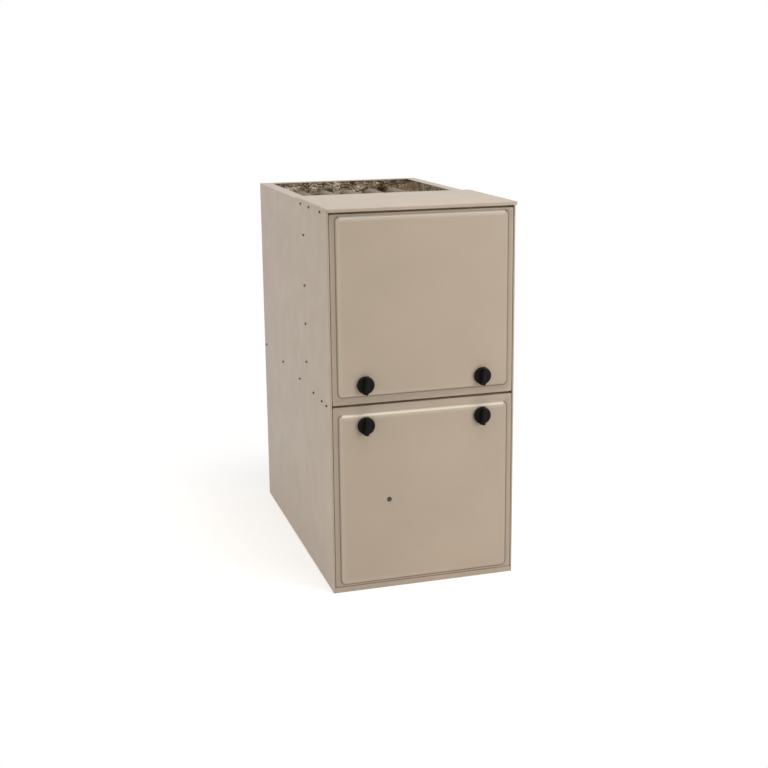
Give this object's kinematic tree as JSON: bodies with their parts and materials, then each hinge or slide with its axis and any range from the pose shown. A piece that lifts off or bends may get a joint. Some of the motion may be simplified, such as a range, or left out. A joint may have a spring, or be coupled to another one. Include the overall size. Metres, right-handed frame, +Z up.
{
  "type": "forced air gas furnace",
  "caption": "Upright painted steel warm air furnace with two tilting doors, quarter turn knobs, an open supply outlet over a tubular heat exchanger, burners, inducer and blower.",
  "frame": {"origin": "centre of the bounding box on the floor, under the cabinet", "axes": "+Z up, the doors face -Y, +X to the right seen from the front"},
  "size_m": [0.444, 0.774, 0.889],
  "materials": {
    "casing_paint": "satin beige baked enamel",
    "galvanised_steel": "galvanised, faint spangle",
    "foil_faced_blanket": "glass fibre with a crinkled aluminium foil face",
    "aluminised_steel": "aluminised, dull",
    "cast_aluminium": "die cast",
    "black_plastic": "moulded, fine grain",
    "dark_enamel": "dark enamel",
    "board_green": "circuit board",
    "red_plastic": "moulded",
    "smoked_glass": "dark, clear",
    "rubber": "matt",
    "ceramic": "unglazed"
  },
  "bodies": {
    "cabinet": {"casing_wrap": "casing_paint", "top_plate": "casing_paint", "base_rail": "casing_paint", "bottom_closure_panel": "galvanised_steel", "blower_deck": "galvanised_steel", "latch_keeper_left": "galvanised_steel", "latch_keeper_right": "galvanised_steel", "vestibule_panel": "galvanised_steel", "vent_elbow": "galvanised_steel", "burner_bracket": "galvanised_steel", "blower_wrap": "galvanised_steel", "blower_side_left": "galvanised_steel", "blower_side_right": "galvanised_steel", "motor_mount": "galvanised_steel", "blower_rail_left": "galvanised_steel", "blower_rail_right": "galvanised_steel", "control_bracket": "galvanised_steel", "insulation_blanket": "foil_faced_blanket", "heat_exchanger_tube_1": "aluminised_steel", "heat_exchanger_tube_2": "aluminised_steel", "heat_exchanger_tube_3": "aluminised_steel", "heat_exchanger_tube_4": "aluminised_steel", "heat_exchanger_tube_5": "aluminised_steel", "collector_box": "aluminised_steel", "burner_1": "aluminised_steel", "burner_2": "aluminised_steel", "burner_3": "aluminised_steel", "burner_4": "aluminised_steel", "burner_5": "aluminised_steel", "capacitor": "aluminised_steel", "gas_valve": "cast_aluminium", "rollout_switch": "black_plastic", "limit_switch": "black_plastic", "pressure_switch": "black_plastic", "door_switch": "black_plastic", "inducer_housing": "dark_enamel", "inducer_motor": "dark_enamel", "gas_manifold": "dark_enamel", "blower_motor": "dark_enamel", "transformer": "dark_enamel", "control_board": "board_green", "pressure_hose": "rubber", "igniter": "ceramic", "flame_sensor": "ceramic"},
    "upper_door": {"upper_door": "casing_paint", "upper_door_liner": "foil_faced_blanket"},
    "lower_door": {"lower_door": "casing_paint", "lower_door_liner": "foil_faced_blanket", "sight_glass": "smoked_glass"},
    "knob_upper_left": {"door_knob_upper_left": "black_plastic"},
    "knob_upper_right": {"door_knob_upper_right": "black_plastic"},
    "knob_lower_left": {"door_knob_lower_left": "black_plastic"},
    "knob_lower_right": {"door_knob_lower_right": "black_plastic"},
    "blower_rotor": {"blower_wheel": "galvanised_steel", "blower_shaft": "aluminised_steel"},
    "inducer_rotor": {"inducer_wheel": "aluminised_steel"},
    "valve_switch": {"gas_valve_switch": "red_plastic"},
    "reset_button": {"rollout_reset_button": "red_plastic"},
    "switch_plunger": {"door_switch_plunger": "red_plastic"}
  },
  "joints": [
    {"name": "upper_door_tilt", "type": "hinge", "parent": "cabinet", "child": "upper_door", "pos_m": [0, -0.354, 0.876], "axis": [-1, 0, 0], "range_deg": [0, 40]},
    {"name": "lower_door_tilt", "type": "hinge", "parent": "cabinet", "child": "lower_door", "pos_m": [0, -0.362, 0.014], "axis": [1, 0, 0], "range_deg": [0, 45]},
    {"name": "knob_upper_left_turn", "type": "hinge", "parent": "upper_door", "child": "knob_upper_left", "pos_m": [-0.1395, -0.367, 0.4917], "axis": [0, 1, 0], "range_deg": [0, 90]},
    {"name": "knob_upper_right_turn", "type": "hinge", "parent": "upper_door", "child": "knob_upper_right", "pos_m": [0.1395, -0.367, 0.4917], "axis": [0, 1, 0], "range_deg": [0, 90]},
    {"name": "knob_lower_left_turn", "type": "hinge", "parent": "lower_door", "child": "knob_lower_left", "pos_m": [-0.1395, -0.367, 0.3973], "axis": [0, 1, 0], "range_deg": [0, 90]},
    {"name": "knob_lower_right_turn", "type": "hinge", "parent": "lower_door", "child": "knob_lower_right", "pos_m": [0.1395, -0.367, 0.3973], "axis": [0, 1, 0], "range_deg": [0, 90]},
    {"name": "blower_spin", "type": "hinge", "parent": "cabinet", "child": "blower_rotor", "pos_m": [0, 0.068, 0.205], "axis": [1, 0, 0], "continuous": true},
    {"name": "inducer_spin", "type": "hinge", "parent": "cabinet", "child": "inducer_rotor", "pos_m": [0, -0.2026, 0.76], "axis": [0, 1, 0], "continuous": true},
    {"name": "gas_valve_switch_slide", "type": "slide", "parent": "cabinet", "child": "valve_switch", "axis": [1, 0, 0], "range_m": [0, 0.006]},
    {"name": "rollout_reset_press", "type": "slide", "parent": "cabinet", "child": "reset_button", "axis": [0, 1, 0], "range_m": [0, 0.002], "stiffness_N_per_m": 200},
    {"name": "door_switch_press", "type": "slide", "parent": "cabinet", "child": "switch_plunger", "axis": [0, -1, 0], "range_m": [0, 0.005]}
  ],
  "couplings": [
    {"joint": "door_switch_press", "follows": "lower_door_tilt", "m_per_rad": 0.00636}
  ]
}
